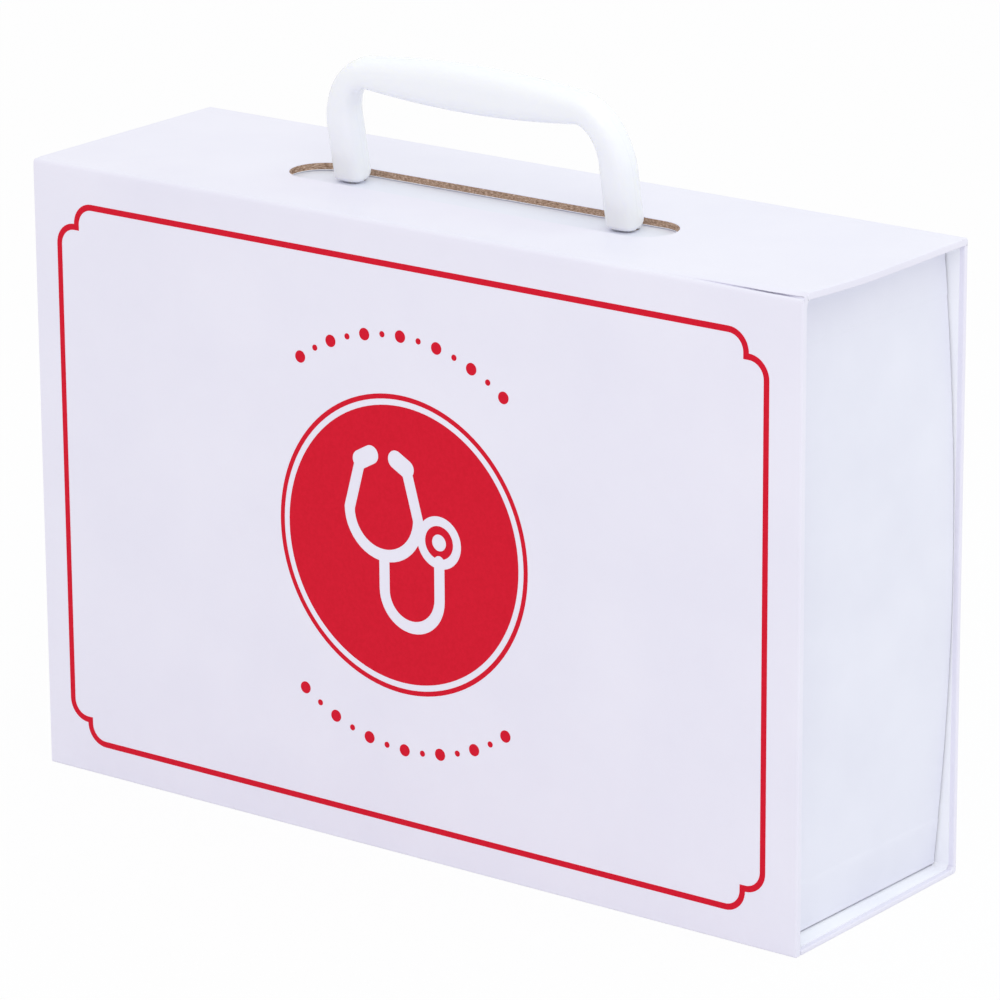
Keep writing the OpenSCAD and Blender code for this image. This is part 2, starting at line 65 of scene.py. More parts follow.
FOOT_H, FOOT_Z, FOOT_R = 2.6, 8.0, 5.25
GRIP_Z, GRIP_MID, GRIP_END, BEND_H, BEND_W = 43.9, 15.2, 9.9, 18.4, 12.9
BACKING_HALF_L, BACKING_HALF_W = 69.55, 12.0
FLAP_FRONT = -42.2
# Each hole in the tray's top wall for a neck: half its width, and its reach before and behind the pin
NECK_HOLE, NECK_BEFORE, NECK_BEHIND = 2.8, 3.1, 2.75
NECK_HALF_W, NECK_HALF_T, KNUCKLE_R = 2.5, 2.0, 2.4

# Radius of the covering paper round a panel's cut edges, and the turns at which it is drawn
EDGE_R, EDGE_TURNS = 0.5, range(0, 91, 18)
# Distance from a fold's corner at which its mitre meets each panel's inner face
MITRE = PANEL - PAPER + FOLD_R
LID_MITRE = LID_PANEL - PAPER + FOLD_R
# What keeps two faces that lie on each other apart
HAIR = 0.02


# Colours, nodes and materials

def linear(code):
    """The linear colour of an sRGB hex value."""
    parts = [int(code[i:i + 2], 16) / 255 for i in (1, 3, 5)]
    return [*(c / 12.92 if c <= 0.04045 else ((c + 0.055) / 1.055) ** 2.4 for c in parts), 1.0]


def add(tree, kind, inputs=None, **settings):
    """Adds a node to a tree, with its settings made and its inputs set or linked."""
    node = tree.nodes.new(kind)
    for name, value in settings.items():
        setattr(node, name, value)
    for name, value in (inputs or {}).items():
        if isinstance(value, bpy.types.NodeSocket):
            tree.links.new(value, node.inputs[name])
        else:
            node.inputs[name].default_value = value
    return node


def new_material(name):
    """An empty material with its output, a Principled shader and the object's own coordinates."""
    material = bpy.data.materials.new(name)
    material.use_nodes = True
    tree = material.node_tree
    tree.nodes.clear()
    shader = add(tree, "ShaderNodeBsdfPrincipled")
    add(tree, "ShaderNodeOutputMaterial", {"Surface": shader.outputs["BSDF"]})
    place = add(tree, "ShaderNodeTexCoord").outputs["Object"]
    return material, tree, shader, place


def set_ramp(node, stops):
    """Gives a colour ramp its stops: pairs of position and sRGB hex value."""
    while len(node.color_ramp.elements) < len(stops):
        node.color_ramp.elements.new(0.5)
    for element, (position, code) in zip(node.color_ramp.elements, stops):
        element.position, element.color = position, linear(code)
    return node.outputs["Color"]


def paper(name, light, shade, roughness, tooth, lay):
    """Paper glued on board: a fine tooth in the sheet and the slow waves of the board and glue under it.

    light and shade are the two whites it drifts between. tooth and lay are the heights of the fine
    grain, 0.6 mm across, and of the slow waves, 25 mm across, in millimetres.
    """
    material, tree, shader, place = new_material(name)
    drift = add(tree, "ShaderNodeTexNoise", {"Vector": place, "Scale": 22.0, "Detail": 3.0,
                                             "Roughness": 0.55})
    ramp = add(tree, "ShaderNodeValToRGB", {"Fac": drift.outputs["Fac"]})
    grain = add(tree, "ShaderNodeTexNoise", {"Vector": place, "Scale": 1600.0, "Detail": 4.0,
                                             "Roughness": 0.6})
    waves = add(tree, "ShaderNodeTexNoise", {"Vector": place, "Scale": 40.0, "Detail": 2.0,
                                             "Roughness": 0.5})
    slow = add(tree, "ShaderNodeBump", {"Height": waves.outputs["Fac"], "Strength": 1.0,
                                        "Distance": lay * MM})
    fine = add(tree, "ShaderNodeBump", {"Height": grain.outputs["Fac"], "Normal": slow.outputs["Normal"],
                                        "Strength": 1.0, "Distance": tooth * MM})
    sheen = add(tree, "ShaderNodeMapRange", {"Value": grain.outputs["Fac"], "From Min": 0.3, "From Max": 0.7,
                                             "To Min": roughness - 0.04, "To Max": roughness + 0.04})
    tree.links.new(set_ramp(ramp, [(0.35, shade), (0.65, light)]), shader.inputs["Base Color"])
    tree.links.new(sheen.outputs["Result"], shader.inputs["Roughness"])
    tree.links.new(fine.outputs["Normal"], shader.inputs["Normal"])
    shader.inputs["IOR"].default_value = 1.5
    return material


# Coated art paper, matt laminated: a faintly lavender white with a satin sheen, on board that waves a little
art_paper = paper("coated_art_paper", "#ECEAF7", "#E9E7F5", 0.42, 0.004, 0.05)
# The tray's coated paper: the same stock without the lamination, so cooler and a little duller
tray_stock = paper("tray_coated_paper", "#EAEBF7", "#E5E6F3", 0.5, 0.006, 0.08)
# Uncoated woodfree lining sheet: matt, with more tooth, in a cool white. Its white is raised above the
# paper's own as painted light, standing in for light bounced up from the floor into the shaded inside of the
# case
lining_stock = paper("uncoated_lining_paper", "#FAFBFF", "#F5F6FE", 0.72, 0.012, 0.05)


def greyboard():
    """Recycled greyboard, die cut: brown pulp in plies with pale and dark fibres, torn, not smooth."""
    material, tree, shader, place = new_material("recycled_greyboard")
    # Fibres 1.1 mm long and 0.4 mm thick, about three times coarser than real ones so that they show
    along = add(tree, "ShaderNodeMapping", {"Vector": place, "Scale": (900.0, 900.0, 2400.0)})
    fibres = add(tree, "ShaderNodeTexNoise", {"Vector": along.outputs["Vector"], "Scale": 1.0, "Detail": 5.0,
                                              "Roughness": 0.65})
    colour = add(tree, "ShaderNodeValToRGB", {"Fac": fibres.outputs["Fac"]})
    # Pale flecks of the white paper that the pulp was made from, about 0.4 mm across
    flecks = add(tree, "ShaderNodeTexNoise", {"Vector": place, "Scale": 2400.0, "Detail": 2.0})
    pale = add(tree, "ShaderNodeMapRange", {"Value": flecks.outputs["Fac"], "From Min": 0.62,
                                            "From Max": 0.74, "To Max": 0.7})
    mixed = add(tree, "ShaderNodeMix", {"Factor": pale.outputs["Result"]}, data_type="RGBA")
    browns = [(0.36, "#755743"), (0.46, "#A1836C"), (0.55, "#BA9B84"), (0.66, "#DDC8B6")]
    tree.links.new(set_ramp(colour, browns), mixed.inputs["A"])
    mixed.inputs["B"].default_value = linear("#D6C2B1")
    rough = add(tree, "ShaderNodeBump", {"Height": fibres.outputs["Fac"], "Strength": 1.0,
                                         "Distance": 0.1 * MM})
    tree.links.new(mixed.outputs["Result"], shader.inputs["Base Color"])
    tree.links.new(rough.outputs["Normal"], shader.inputs["Normal"])
    shader.inputs["Roughness"].default_value = 0.92
    return material


raw_board = greyboard()


def kraft():
    """Gummed kraft tape: thin brown paper with long fibres, slightly glazed by its glue."""
    material, tree, shader, place = new_material("gummed_kraft_tape")
    fibres = add(tree, "ShaderNodeTexNoise", {"Vector": place, "Scale": 700.0, "Detail": 4.0,
                                              "Roughness": 0.6})
    ramp = add(tree, "ShaderNodeValToRGB", {"Fac": fibres.outputs["Fac"]})
    tree.links.new(set_ramp(ramp, [(0.3, "#9A7A55"), (0.7, "#B6946C")]), shader.inputs["Base Color"])
    shader.inputs["Roughness"].default_value = 0.6
    return material


tape = kraft()


def offset_ink():
    """Red offset ink on coated paper: it sinks a little unevenly into the sheet and dulls its sheen."""
    material, tree, shader, place = new_material("red_offset_ink")
    mottle = add(tree, "ShaderNodeTexNoise", {"Vector": place, "Scale": 900.0, "Detail": 3.0,
                                              "Roughness": 0.6})
    ramp = add(tree, "ShaderNodeValToRGB", {"Fac": mottle.outputs["Fac"]})
    tree.links.new(set_ramp(ramp, [(0.3, "#D00927"), (0.7, "#D80F2D")]), shader.inputs["Base Color"])
    grain = add(tree, "ShaderNodeBump", {"Height": mottle.outputs["Fac"], "Strength": 1.0,
                                         "Distance": 0.004 * MM})
    tree.links.new(grain.outputs["Normal"], shader.inputs["Normal"])
    shader.inputs["Roughness"].default_value = 0.5
    shader.inputs["IOR"].default_value = 1.5
    shader.inputs["Specular IOR Level"].default_value = 0.12
    return material


ink = offset_ink()


def polypropylene():
    """Injection moulded polypropylene: a glossy, slightly milky white with faint flow in its skin."""
    material, tree, shader, place = new_material("moulded_polypropylene")
    # Flow marks in the skin, 3 to 6 mm across
    flow = add(tree, "ShaderNodeTexNoise", {"Vector": place, "Scale": 160.0, "Detail": 2.0,
                                            "Roughness": 0.5})
    skin = add(tree, "ShaderNodeBump", {"Height": flow.outputs["Fac"], "Strength": 1.0,
                                        "Distance": 0.05 * MM})
    polish = add(tree, "ShaderNodeMapRange", {"Value": flow.outputs["Fac"], "From Min": 0.3, "From Max": 0.7,
                                              "To Min": 0.15, "To Max": 0.21})
    tree.links.new(polish.outputs["Result"], shader.inputs["Roughness"])
    tree.links.new(skin.outputs["Normal"], shader.inputs["Normal"])
    shader.inputs["Base Color"].default_value = linear("#F7F9FF")
    shader.inputs["IOR"].default_value = 1.49
    shader.inputs["Subsurface Weight"].default_value = 0.3
    shader.inputs["Subsurface Radius"].default_value = (0.004, 0.004, 0.005)
    return material


plastic = polypropylene()


def metal(name, code, roughness, scale):
    """A small plated or drawn metal part with faint marks from its making."""
    material, tree, shader, place = new_material(name)
    marks = add(tree, "ShaderNodeTexNoise", {"Vector": place, "Scale": scale, "Detail": 3.0})
    wear = add(tree, "ShaderNodeMapRange", {"Value": marks.outputs["Fac"], "From Min": 0.3, "From Max": 0.7,
                                            "To Min": roughness - 0.06, "To Max": roughness + 0.08})
    tree.links.new(wear.outputs["Result"], shader.inputs["Roughness"])
    shader.inputs["Base Color"].default_value = linear(code)
    shader.inputs["Metallic"].default_value = 1.0
    return material


# Bright drawn steel wire and nickel plate: grey metals with fine marks
wire = metal("bright_steel_wire", "#B4B7BB", 0.3, 1500.0)
nickel = metal("nickel_plate", "#C4C0B8", 0.22, 800.0)

for node, material in {
    "front_board": raw_board, "spine_board": raw_board, "lid_board": raw_board, "flap_board": raw_board,
    "tray_floor": raw_board, "tray_top_wall": raw_board, "tray_bottom_wall": raw_board,
    "tray_left_end": raw_board, "tray_right_end": raw_board, "handle_backing": raw_board,
    "tray_corner_tapes": tape, "spine_liner": lining_stock, "lid_liner": lining_stock,
    "flap_liner": lining_stock,
    "tray_lining": tray_stock, "handle_backing_cover": tray_stock,
    "border_print": ink, "emblem_print": ink, "handle_pins": wire,
    "tray_magnets": nickel, "flap_magnets": nickel,
}.items():
    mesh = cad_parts[node].data
    mesh.materials.clear()
    mesh.materials.append(material)


# Making meshes

def finished(name, bm, material, smooth_angle=40.0, modifiers=(), bow=None):
    """Makes an object from a bmesh drawn in millimetres, with its modifiers applied to the mesh.

    bow is the tree that bows the tray's ends, for a piece that follows them; it acts before the rest.
    """
    bmesh.ops.scale(bm, vec=(MM, MM, MM), verts=bm.verts)
    mesh = bpy.data.meshes.new(name)
    bm.to_mesh(mesh)
    bm.free()
    mesh.materials.append(material)
    mesh.shade_smooth()
    mesh.set_sharp_from_angle(angle=math.radians(smooth_angle))
    piece = bpy.data.objects.new(name, mesh)
    bpy.context.scene.collection.objects.link(piece)
    if bow:
        bent = piece.modifiers.new("Bow", "NODES")
        bent.node_group = bow
        sockets = {item.name: item.identifier for item in bow.interface.items_tree if item.in_out == "INPUT"}
        for key, value in (("Half width", TRAY_HALF_W * MM), ("Flare", END_FLARE * MM), ("Bow", END_BOW * MM),
                           ("Floor", TRAY_Y0 * MM), ("Rim", TRAY_RIM * MM), ("Low", WALL_LOW * MM),
                           ("High", WALL_HIGH * MM), ("Paper", material)):
            bent[sockets[key]] = value
    for kind, settings in modifiers:
        made = piece.modifiers.new(kind.title(), kind)
        for key, value in settings.items():
            setattr(made, key, value)
    if bow or modifiers:
        evaluated = piece.evaluated_get(bpy.context.evaluated_depsgraph_get())
        baked = bpy.data.meshes.new_from_object(evaluated)
        piece.modifiers.clear()
        piece.data = baked
        bpy.data.meshes.remove(mesh)
        baked.name = name
    return piece


def tidied(bm):
    """Merges a bmesh's doubles and turns its faces outwards."""
    bmesh.ops.remove_doubles(bm, verts=bm.verts, dist=0.0005)
    bmesh.ops.dissolve_degenerate(bm, edges=bm.edges, dist=0.0005)
    bmesh.ops.recalc_face_normals(bm, faces=bm.faces)
    return bm


SHEET = (("SOLIDIFY", {"thickness": PAPER * MM, "offset": -1.0}), ("WEIGHTED_NORMAL", {"keep_sharp": True}))


def turned(a):
    """The cosine and sine of an angle in degrees."""
    return math.cos(math.radians(a)), math.sin(math.radians(a))


def smooth(t):
    """Rises smoothly from 0 to 1 as t does."""
    t = min(1.0, max(0.0, t))
    return t * t * (3 - 2 * t)


def between(value, places, levels):
    """A value on the line through (place, level) pairs."""
    if value <= places[0]:
        return levels[0]
    for a, b, low, high in zip(places, places[1:], levels, levels[1:]):
        if value <= b:
            return low + (high - low) * (value - a) / (b - a)
    return levels[-1]


def spread(low, high, count):
    """Evenly spaced values from low to high, with count steps between them."""
    return [low + (high - low) * i / count for i in range(count + 1)]


def join_rings(bm, rings, opening=None):
    """Skins between closed rings, leaving open what the opening function says of a face's middle."""
    for low, high in zip(rings, rings[1:]):
        for k in range(len(low)):
            n = (k + 1) % len(low)
            corners = (low[k], low[n], high[n], high[k])
            if not (opening and opening(sum((v.co for v in corners), Vector()) / 4)):
                bm.faces.new(corners)


# Columns across the cover, closer together towards the right, where the top panel has come up
ACROSS = spread(-HALF_W + 1.0, 79.0, 24) + spread(83.0, HALF_W - 1.0, 22)
RAISED = [x for x in ACROSS if x > 80]


def panel_ring(inset, thick):
    """Points (x, share of the panel's depth) all the way round a covered panel, the outer face first."""
    r = EDGE_R
    points = [(x, inset / thick) for x in ACROSS]
    for side, depth, first in ((1, r, -90), (1, thick - r, 0), (-1, thick - r, 90), (-1, r, 180)):
        for a in EDGE_TURNS:
            c, s = turned(first + a)
            points.append((side * (HALF_W - r) + (r - inset) * c, (depth + (r - inset) * s) / thick))
        if (side, first) == (1, 0):
            points += [(HALF_W - TURN_IN, 1 - inset / thick), (-HALF_W + TURN_IN, 1 - inset / thick)]
    return points


def covering(bm, stations, thick, window_from=0, skip=()):
    """Lays paper round a panel through stations: an outer point, an inner point and an inset.

    window_from is the station after which the inner face is left open between its turned-in strips.
    skip are spans of the outer face that stay open. Returns the rings of vertices.
    """
    rings = [[bm.verts.new((x, oy + (iy - oy) * share, oz + (iz - oz) * share))
              for x, share in panel_ring(inset, thick)] for (oy, oz), (iy, iz), inset in stations]
    count = len(rings[0])
    # The inner face's middle lies behind the outer face and the right edge's two turns
    window = len(ACROSS) + 2 * len(EDGE_TURNS)
    for i, (low, high) in enumerate(zip(rings, rings[1:])):
        for k in range(count):
            if (k == window and i >= window_from) or (i in skip and k < len(ACROSS) - 1):
                continue
            n = (k + 1) % count
            bm.faces.new((low[k], low[n], high[n], high[k]))
    return rings


def free_edge():
    """Stations round a panel's wrapped free edge: pairs of distance from its end and inset."""
    return [(EDGE_R - EDGE_R * s, EDGE_R - EDGE_R * c) for c, s in map(turned, (90, 67, 45, 22, 0))]


def stadium(length, width, steps=40):
    """Points round a long hole with round ends, seen from above."""
    reach, r = (length - width) / 2, width / 2
    points = []
    for side in (1, -1):
        for i in range(steps + 1):
            c, s = turned(-90 + 180 * i / steps + (0 if side == 1 else 180))
            points.append((side * reach + r * c, r * s))
    return points


# The top panel's front right corner has come up from the front panel, and a crease has opened under it:
# the corner's height, the x and y from which the panel rises towards it, and the lengths of the two rises
LIFTED, LIFT_X, LIFT_Y, RISE_X, RISE_Y = 1.85, 82, -5, 68, 40


def lift(x, y):
    """How far the top panel has come up at a place."""
    across, along = (x - LIFT_X) / RISE_X, (LIFT_Y - y) / RISE_Y
    return LIFTED * min(1.0, max(0.0, across)) ** 1.5 * min(1.0, max(0.0, along)) ** 1.5


# The crease is a pleat pinched in the sheet: for places behind the front, how far back and up each moves,
# and its share of the lift
PLEAT = (1.15, 1.5, 1.8, 2.1, 2.4, 2.9, 3.15, 3.4)
PLEAT_BACK = (0, 0, 0.8, 0.65, -0.95, -1.7, -0.95, 0)
PLEAT_UP = (0, -0.7, -0.9, 0.1, 0.02, 0.05, 0.02, 0)
PLEAT_LIFT = (0, 0, 0, 0.2, 0.25, 0.27, 0.6, 0.85)


def crease(x):
    """How far the crease behind the front top edge has opened, from 0 to 1."""
    return between(x, (86, 109, 125, 136, 143, 148.5, 150), (0, 0.12, 0.5, 1.0, 0.8, 0.1, 0))


# How far back the fold reaches, how deep its skin and the whole top panel are, and the width of its bend
FOLD_BACK, FOLD_SKIN, FOLD_DEEP, FOLD_BEND = 3.55, 0.7, 3.45, 1.8
# Places behind the fold, and their share of the lift
BEHIND, BEHIND_LIFT = (3.4, 4.2, 5.2), (0.85, 0.95, 1)


def raise_corner(bm, pleated=False):
    """Moves a mesh of the top panel as the real one has come up, the fold with it."""
    for vertex in bm.verts:
        x, back, down = vertex.co.x, vertex.co.y - FRONT, HEIGHT - vertex.co.z
        rise = lift(x, vertex.co.y)
        if down > FOLD_DEEP:
            continue
        if back < FOLD_BACK and down < FOLD_SKIN and pleated:
            open_by = crease(x)
            vertex.co.y += open_by * between(back, PLEAT, PLEAT_BACK)
            vertex.co.z += open_by * between(back, PLEAT, PLEAT_UP) + rise * between(back, PLEAT, PLEAT_LIFT)
        elif back < FOLD_BACK:
            vertex.co.z += BEHIND_LIFT[0] * rise * smooth((back - down + FOLD_BEND / 2) / FOLD_BEND)
        else:
            vertex.co.z += rise * between(back, BEHIND, BEHIND_LIFT)


# Where the top panel's faces are cut, along its depth, so that they can bend
CUTS_Y = (-40.8, -39.8, -37, -34, -31, -27, -23, -19, -14, -9, -5)


def cut_for_raising(bm):
    """Cuts a top panel's long faces so that they can follow the raised corner."""
    for axis, places in ((0, RAISED[::2]), (1, CUTS_Y)):
        for place in places:
            point, normal = [0, 0, 0], [0, 0, 0]
            point[axis], normal[axis] = place, 1
            bmesh.ops.bisect_plane(bm, geom=bm.verts[:] + bm.edges[:] + bm.faces[:], dist=0.0001,
                                   plane_co=point, plane_no=normal)


def fill_round_hole(bm, outline, hole):
    """Fills between a closed outline and the hole in it."""
    edges = []
    for points in (outline, hole):
        for a, b in zip(points, points[1:] + points[:1]):
            edges.append(bm.edges.get((a, b)) or bm.edges.new((a, b)))
    bmesh.ops.triangle_fill(bm, edges=edges, use_beauty=True, normal=(0, 0, 1))


# Cover: the front and top panels in one sheet

bm = bmesh.new()
stations = [((FRONT, far), (FRONT + PANEL, far), inset) for far, inset in free_edge()]
stations += [((FRONT, z), (FRONT + PANEL, z), 0) for z in (TURN_IN, 40, 80, 120, 160, HEIGHT - 5)]
# The scored front top edge: two soft ridges with a flat between them, then the shallow dip over the joint.
# Each place is a distance back and up from the corner, and how far round the inside of the fold it lies.
for y, z, round_by in (
        (0, -3.4, 0), (0, -2.3, 0), (0.07, -1.9, 0), (0.09, -1.35, 0), (0.13, -1.05, 0.1), (0.3, -0.6, 0.2),
        (0.65, -0.27, 0.3), (1.15, -0.14, 0.4), (1.5, -0.2, 0.5), (1.8, -0.25, 0.6), (2.1, -0.2, 0.7),
        (2.4, -0.14, 0.8), (2.9, -0.05, 0.9), (3.15, -0.02, 0.95), (MITRE, 0, 1)):
    inner = (FRONT + PANEL + (MITRE - PANEL) * round_by, HEIGHT - MITRE + (MITRE - PANEL) * round_by)
    stations.append(((FRONT + y, HEIGHT + z), inner, 0))
stations.append(((BACK - MITRE, HEIGHT), (BACK - MITRE, HEIGHT - PANEL), 0))
rings = covering(bm, stations, PANEL, window_from=5, skip={len(stations) - 2})
bm.faces.new(list(reversed(rings[0])))
# The edge of the hole in the sheet, pressed down a little by the die
rims = [[bm.verts.new((x, HOLE_Y + y, HEIGHT - drop))
         for x, y in stadium(HOLE_L + 2 * grow, HOLE_W + 2 * grow)]
        for grow, drop in ((0.5, 0.0), (0.2, 0.04), (0.04, 0.14), (0.0, 0.3))]
join_rings(bm, rims)
fill_round_hole(bm, rings[-2][:len(ACROSS)] + list(reversed(rings[-1][:len(ACROSS)])), rims[0])
cut_for_raising(bm)
raise_corner(bm, pleated=True)
cover = finished("front_and_top_covering", tidied(bm), art_paper, modifiers=SHEET)
# The sheet's thickness may not stand out past the case's sides where it is warped
for vertex in cover.data.vertices:
    vertex.co.x = min(HALF_W * MM, max(-HALF_W * MM, vertex.co.x))
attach(cover, "case")
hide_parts("front_wrap", "spine_wrap")


def plate(name, levels, half, ends, material, wander):
    """A sheet or board of the top panel, pierced by the hole, with the die's uneven cut round the hole.

    levels are the heights of its rows from the lower face to the upper one, and ends the distances of
    its front and back ends from the case's, for the lower and for the upper face. wander is how far
    the cut strays, in millimetres.
    """
    bm = bmesh.new()
    chance = random.Random(7)
    walls, outlines = [], []
    for i, z in enumerate(levels):
        loose = wander if 0 < i < len(levels) - 1 else 0.0
        walls.append([bm.verts.new((x * (1 + chance.uniform(-loose, loose) / 70),
                                    HOLE_Y + y * (1 + chance.uniform(-loose, loose) / (HOLE_W / 2)), z))
                      for x, y in stadium(HOLE_L, HOLE_W)])
    for z, (front, back) in ((levels[0], ends[0]), (levels[-1], ends[1])):
        outlines.append([bm.verts.new((x, y, z)) for x, y in (
            (-half, FRONT + front), (half, FRONT + front), (half, BACK - back), (-half, BACK - back))])
    join_rings(bm, walls)
    join_rings(bm, outlines)
    fill_round_hole(bm, outlines[0], walls[0])
    fill_round_hole(bm, outlines[1], walls[-1])
    cut_for_raising(bm)
    raise_corner(bm)
    piece = finished(name, tidied(bm), material, smooth_angle=30.0)
    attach(piece, "case")
    return piece


top_board = plate("top_greyboard", spread(HEIGHT - PANEL + PAPER, HEIGHT - PAPER - HAIR, 7),
                  HALF_W - PAPER - HAIR, ((MITRE + 0.25, MITRE), (MITRE, FOLD_R + 0.2)), raw_board, 0.06)
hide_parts("spine_board")
top_lining = plate("top_lining_sheet", [HEIGHT - LINED + 0.1, HEIGHT - PANEL + PAPER], HALF_W - LINER_IN,
                   ((MITRE + 0.3, LINED - PAPER + FOLD_R),) * 2, lining_stock, 0.0)
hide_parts("spine_liner")


# Cover: lid, flap and their folds

bm = bmesh.new()
heights = (HEIGHT - LID_MITRE, 160, 120, 80, 40, LID_MITRE)
covering(bm, [((BACK, z), (BACK - LID_PANEL, z), 0) for z in heights], LID_PANEL)
lid_cover = finished("lid_covering", tidied(bm), art_paper, modifiers=SHEET)
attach(lid_cover, "lid")
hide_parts("lid_wrap")

bm = bmesh.new()
stations = [((FLAP_FRONT + far, 0), (FLAP_FRONT + far, LID_PANEL), inset) for far, inset in free_edge()]
stations += [((y, 0), (y, LID_PANEL), 0) for y in (FLAP_FRONT + TURN_IN, 0, 20, BACK - LID_MITRE)]
rings = covering(bm, stations, LID_PANEL, window_from=5)
bm.faces.new(list(reversed(rings[0])))
flap_cover = finished("flap_covering", tidied(bm), art_paper, modifiers=SHEET)
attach(flap_cover, "flap")
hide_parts("flap_wrap")


def back_fold(name, lining_name, z, up, thick, lined):
    """The covering and lining papers across a back fold.

    z is the height of the corner and up is 1 at the top and -1 at the base. thick and lined are the level
    panel's thickness without and with its lining.
    """
    mitre = thick - PAPER + FOLD_R
    level = ((BACK - mitre, z), (BACK - mitre, z - up * thick))
    upright = ((BACK, z - up * LID_MITRE), (BACK - LID_PANEL, z - up * LID_MITRE))
    stations = [(*level, 0)]
    turns = (0, 12, 24, 33, 39, 43, 45, 47, 51, 57, 66, 78, 90)
    for i, a in enumerate(turns):
        c, s = turned(a)
        share = i / (len(turns) - 1)
        inner = tuple(p + (q - p) * share for p, q in zip(level[1], upright[1]))
        stations.append(((BACK - FOLD_R + FOLD_R * s, z - up * (FOLD_R - FOLD_R * c)), inner, 0))
    stations.append((*upright, 0))
    bm = bmesh.new()
    covering(bm, stations, thick)
    fold = finished(name, tidied(bm), art_paper, modifiers=SHEET)

    bm = bmesh.new()
    reach, columns, near = HALF_W - LINER_IN, 12, FOLD_R - PAPER
    start, end = (BACK - lined - near, z - up * lined), (BACK - LID_LINED, z - up * (LID_LINED + near))
    rows = []
    for share in spread(0, 1, 16):
        row_y, row_z = (p + (q - p) * share for p, q in zip(start, end))
        rows.append([bm.verts.new((x, row_y, row_z)) for x in spread(-reach, reach, columns)])
    for low, high in zip(rows, rows[1:]):
        for k in range(columns):
            bm.faces.new((low[k], low[k + 1], high[k + 1], high[k]))
    lining = finished(lining_name, bm, lining_stock, smooth_angle=180.0)

    ends = [(0.0, (BACK - near) * MM, z * MM), (0.0, BACK * MM, (z - up * near) * MM)]
    if up < 0:
        ends.reverse()
    for piece in (fold, lining):
        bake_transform(piece)


back_fold("lid_fold_paper", "lid_joint_lining", HEIGHT, 1, PANEL, LINED)
back_fold("flap_fold_paper", "flap_joint_lining", 0.0, -1, LID_PANEL, LID_LINED)


# Tray

def bow_tree():
    """Geometry Nodes that flare and bow a straight tray's ends, more towards its rim and middle height."""
    tree = bpy.data.node_groups.new("bowed_tray_ends", "GeometryNodeTree")
    tree.is_modifier = True
    tree.interface.new_socket("Geometry", in_out="INPUT", socket_type="NodeSocketGeometry")
    for name in ("Half width", "Flare", "Bow", "Floor", "Rim", "Low", "High"):
        tree.interface.new_socket(name, in_out="INPUT", socket_type="NodeSocketFloat")
    tree.interface.new_socket("Paper", in_out="INPUT", socket_type="NodeSocketMaterial")
    tree.interface.new_socket("Geometry", in_out="OUTPUT", socket_type="NodeSocketGeometry")
    given = add(tree, "NodeGroupInput").outputs

    def work(operation, a, b=0.0):
        return add(tree, "ShaderNodeMath", {0: a, 1: b}, operation=operation).outputs["Value"]

    position = add(tree, "GeometryNodeInputPosition").outputs["Position"]
    place = add(tree, "ShaderNodeSeparateXYZ", {0: position})
    depth = add(tree, "ShaderNodeMapRange", {"Value": place.outputs["Y"], "From Min": given["Floor"],
                                             "From Max": given["Rim"]}).outputs["Result"]
    height = add(tree, "ShaderNodeMapRange", {"Value": place.outputs["Z"], "From Min": given["Low"],
                                              "From Max": given["High"], "To Min": -1.0, "To Max": 1.0})
    middle = work("SUBTRACT", 1.0, work("POWER", work("ABSOLUTE", height.outputs["Result"]), 2.0))
    out = work("ADD", work("MULTIPLY", given["Flare"], depth),
               work("MULTIPLY", work("MULTIPLY", given["Bow"], work("POWER", depth, 1.5)), middle))
    # The long walls widen evenly from the middle of the tray to just inside its ends, which move as one
    side = add(tree, "ShaderNodeMapRange", {"Value": work("ABSOLUTE", place.outputs["X"]),
                                            "From Max": work("MULTIPLY", given["Half width"], 0.978)})
    moved = work("MULTIPLY", work("MULTIPLY", out, side.outputs["Result"]), work("SIGN", place.outputs["X"]))
    offset = add(tree, "ShaderNodeCombineXYZ", {"X": moved})
    bowed = add(tree, "GeometryNodeSetPosition", {"Geometry": given["Geometry"],
                                                  "Offset": offset.outputs["Vector"]})
    real = add(tree, "GeometryNodeRealizeInstances", {"Geometry": bowed.outputs["Geometry"]})
    dressed = add(tree, "GeometryNodeSetMaterial", {"Geometry": real.outputs["Geometry"],
                                                    "Material": given["Paper"]})
    add(tree, "NodeGroupOutput", {"Geometry": dressed.outputs["Geometry"]})
    return tree


bowed_ends = bow_tree()


def wall_ring(bm, y, off, r, tab=0.0):
    """One turn of paper round the straight tray's walls at depth y, off from the boards' outer faces.

    r rounds its corners, and tab is how far the tabs folded from the long walls lift the paper on the ends.
    """
    top, low, half = TRAY_TOP + off, TRAY_LOW - off, TRAY_HALF_W + off
    half_row = (25, LEG_X - NECK_HOLE, LEG_X + NECK_HOLE, BACKING_HALF_L, 100, 129)
    flat = sorted([0, *half_row, *(-x for x in half_row)])
    # Rows crowd round the step at the tab's edge
    near = [0.0, 5.0, 10.0, 13.0, 14.4, 15.0, 15.4, 15.8, 16.2, 16.6, 17.0, 18.0, 21.0, 26.0]
    heights = [top - r - d for d in near] + spread(top - 34, low + 34, 34)
    heights += [low + r + d for d in reversed(near)]
    ring = []
    for side in (1, -1):
        ring += [(x * side, y, top if side == 1 else low) for x in flat]
        corner_z, turn = (top - r, 90) if side == 1 else (low + r, 270)
        for c, s in (turned(turn - a) for a in (0, 22.5, 45, 67.5)):
            ring.append((side * (half - r) + r * c, y, corner_z + r * s))
        for z in (heights if side == 1 else list(reversed(heights))):
            step = tab * (1 - smooth((min(top - z, z - low) - TAB_W + 0.9) / 1.2))
            ring.append((side * (half + step), y, z))
        corner_z, turn = (low + r, 0) if side == 1 else (top - r, 180)
        for c, s in (turned(turn - a) for a in (22.5, 45, 67.5, 90)):
            ring.append((side * (half - r) + r * c, y, corner_z + r * s))
    return [bm.verts.new(p) for p in ring]


